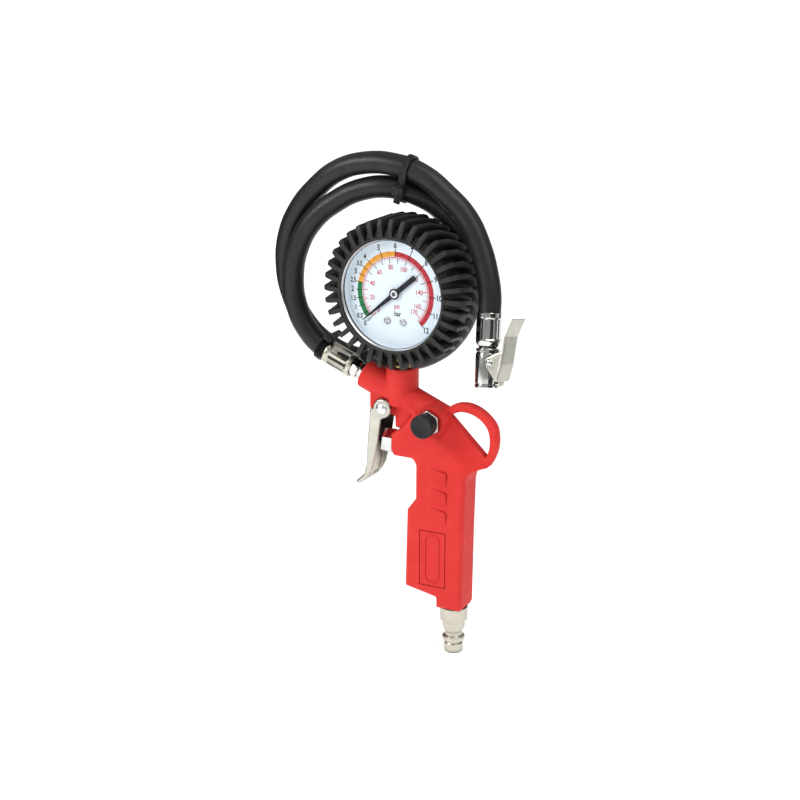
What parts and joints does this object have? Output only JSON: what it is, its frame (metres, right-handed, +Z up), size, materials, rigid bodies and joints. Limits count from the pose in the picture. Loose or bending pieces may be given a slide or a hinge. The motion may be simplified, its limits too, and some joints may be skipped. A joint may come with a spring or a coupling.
{
  "type": "tyre inflator with gauge",
  "caption": "Pistol-grip tyre inflator: trigger valve, bleed button, dial gauge in a lugged rubber boot, tied hose with a clip-on chuck, quick-coupler air plug.",
  "frame": {"origin": "centre of the straight wall at the tip of the air plug, on the plug's axis", "axes": "+Z up along the grip from the plug, -Y out of the side that carries the dial and the bleed button, -X towards the trigger"},
  "size_m": [0.1459, 0.0464, 0.2625],
  "materials": {
    "red_enamel": "satin, fine grain",
    "nickel_plate": "satin nickel",
    "chromed_steel": "polished",
    "spring_steel": "bright wire",
    "brass": "machined",
    "soft_rubber": "matte",
    "boot_rubber": "matte moulded",
    "hose_rubber": "matte, fine cloth print",
    "black_plastic": "moulded",
    "case_paint": "black satin",
    "dial_print": "printed dial",
    "clear_lens": "clear"
  },
  "bodies": {
    "pistol": {"pistol_body": "red_enamel", "air_plug": "nickel_plate", "plug_seal": "soft_rubber", "valve_gland_nut": "chromed_steel", "valve_o_ring": "soft_rubber", "valve_seat": "brass", "valve_spring": "spring_steel", "trigger_pin": "chromed_steel", "bleed_bush": "chromed_steel", "bleed_spring": "spring_steel", "bleed_bellows": "soft_rubber", "gauge_socket": "brass", "gauge_case": "case_paint", "gauge_boot": "boot_rubber", "gauge_bezel": "chromed_steel", "gauge_lens": "clear_lens", "gauge_dial": "dial_print", "dial_screws": "chromed_steel", "hairspring": "brass", "front_plate": "brass", "back_plate": "brass", "plate_posts": "brass", "bourdon_tube": "brass", "hose_nipple": "chromed_steel", "hose_ferrule": "nickel_plate", "hose": "hose_rubber", "cable_tie": "black_plastic", "chuck_ferrule": "chromed_steel", "chuck_nipple": "chromed_steel", "chuck_body": "chromed_steel", "chuck_seal": "soft_rubber", "chuck_depressor": "brass", "chuck_lever_pin": "chromed_steel", "chuck_lever_spring": "spring_steel"},
    "trigger": {"trigger": "nickel_plate"},
    "valve_stem": {"valve_stem": "chromed_steel", "valve_washer": "soft_rubber"},
    "bleed_button": {"bleed_cap": "black_plastic", "bleed_stem": "chromed_steel", "bleed_seal": "soft_rubber"},
    "chuck_lever": {"chuck_lever": "nickel_plate"},
    "pointer": {"pointer": "black_plastic", "pinion": "chromed_steel"},
    "sector": {"sector_gear": "brass", "sector_arbor": "chromed_steel"},
    "link": {"bourdon_link": "chromed_steel"}
  },
  "joints": [
    {"name": "trigger_pull", "type": "hinge", "parent": "pistol", "child": "trigger", "pos_m": [-0.0386, 0, 0.1291], "axis": [0, -1, 0], "range_deg": [0, 9.9], "stiffness_Nm_per_rad": 1.15, "springref_deg": -4.58},
    {"name": "valve_slide", "type": "slide", "parent": "pistol", "child": "valve_stem", "axis": [1, 0, 0], "range_m": [0, 0.0034], "deforming": ["valve_spring"]},
    {"name": "bleed_press", "type": "slide", "parent": "pistol", "child": "bleed_button", "axis": [0, 1, 0], "range_m": [0, 0.002], "stiffness_N_per_m": 1500, "springref_m": -0.002, "deforming": ["bleed_spring", "bleed_bellows"]},
    {"name": "chuck_lever_press", "type": "hinge", "parent": "pistol", "child": "chuck_lever", "pos_m": [0.02385, -0.00549, 0.16128], "axis": [-0.0157, -0.9744, 0.2244], "range_deg": [0, 16], "stiffness_Nm_per_rad": 0.6, "springref_deg": -8.59, "deforming": ["chuck_lever_spring"]},
    {"name": "sector_turn", "type": "hinge", "parent": "pistol", "child": "sector", "pos_m": [-0.0307, 0, 0.1742], "axis": [0, -1, 0], "range_deg": [0, 44], "stiffness_Nm_per_rad": 0.002, "springref_deg": -8.59},
    {"name": "pointer_turn", "type": "hinge", "parent": "pistol", "child": "pointer", "pos_m": [-0.0307, 0, 0.191], "axis": [0, 1, 0], "range_deg": [0, 264], "deforming": ["hairspring"]},
    {"name": "link_swing", "type": "hinge", "parent": "sector", "child": "link", "pos_m": [-0.0307, 0, 0.1702], "axis": [0, 1, 0], "range_deg": [0, 44]}
  ],
  "couplings": [
    {"joint": "valve_slide", "follows": "trigger_pull", "m_per_rad": 0.0196},
    {"joint": "pointer_turn", "follows": "sector_turn", "ratio": 6},
    {"joint": "link_swing", "follows": "sector_turn", "ratio": 1}
  ]
}
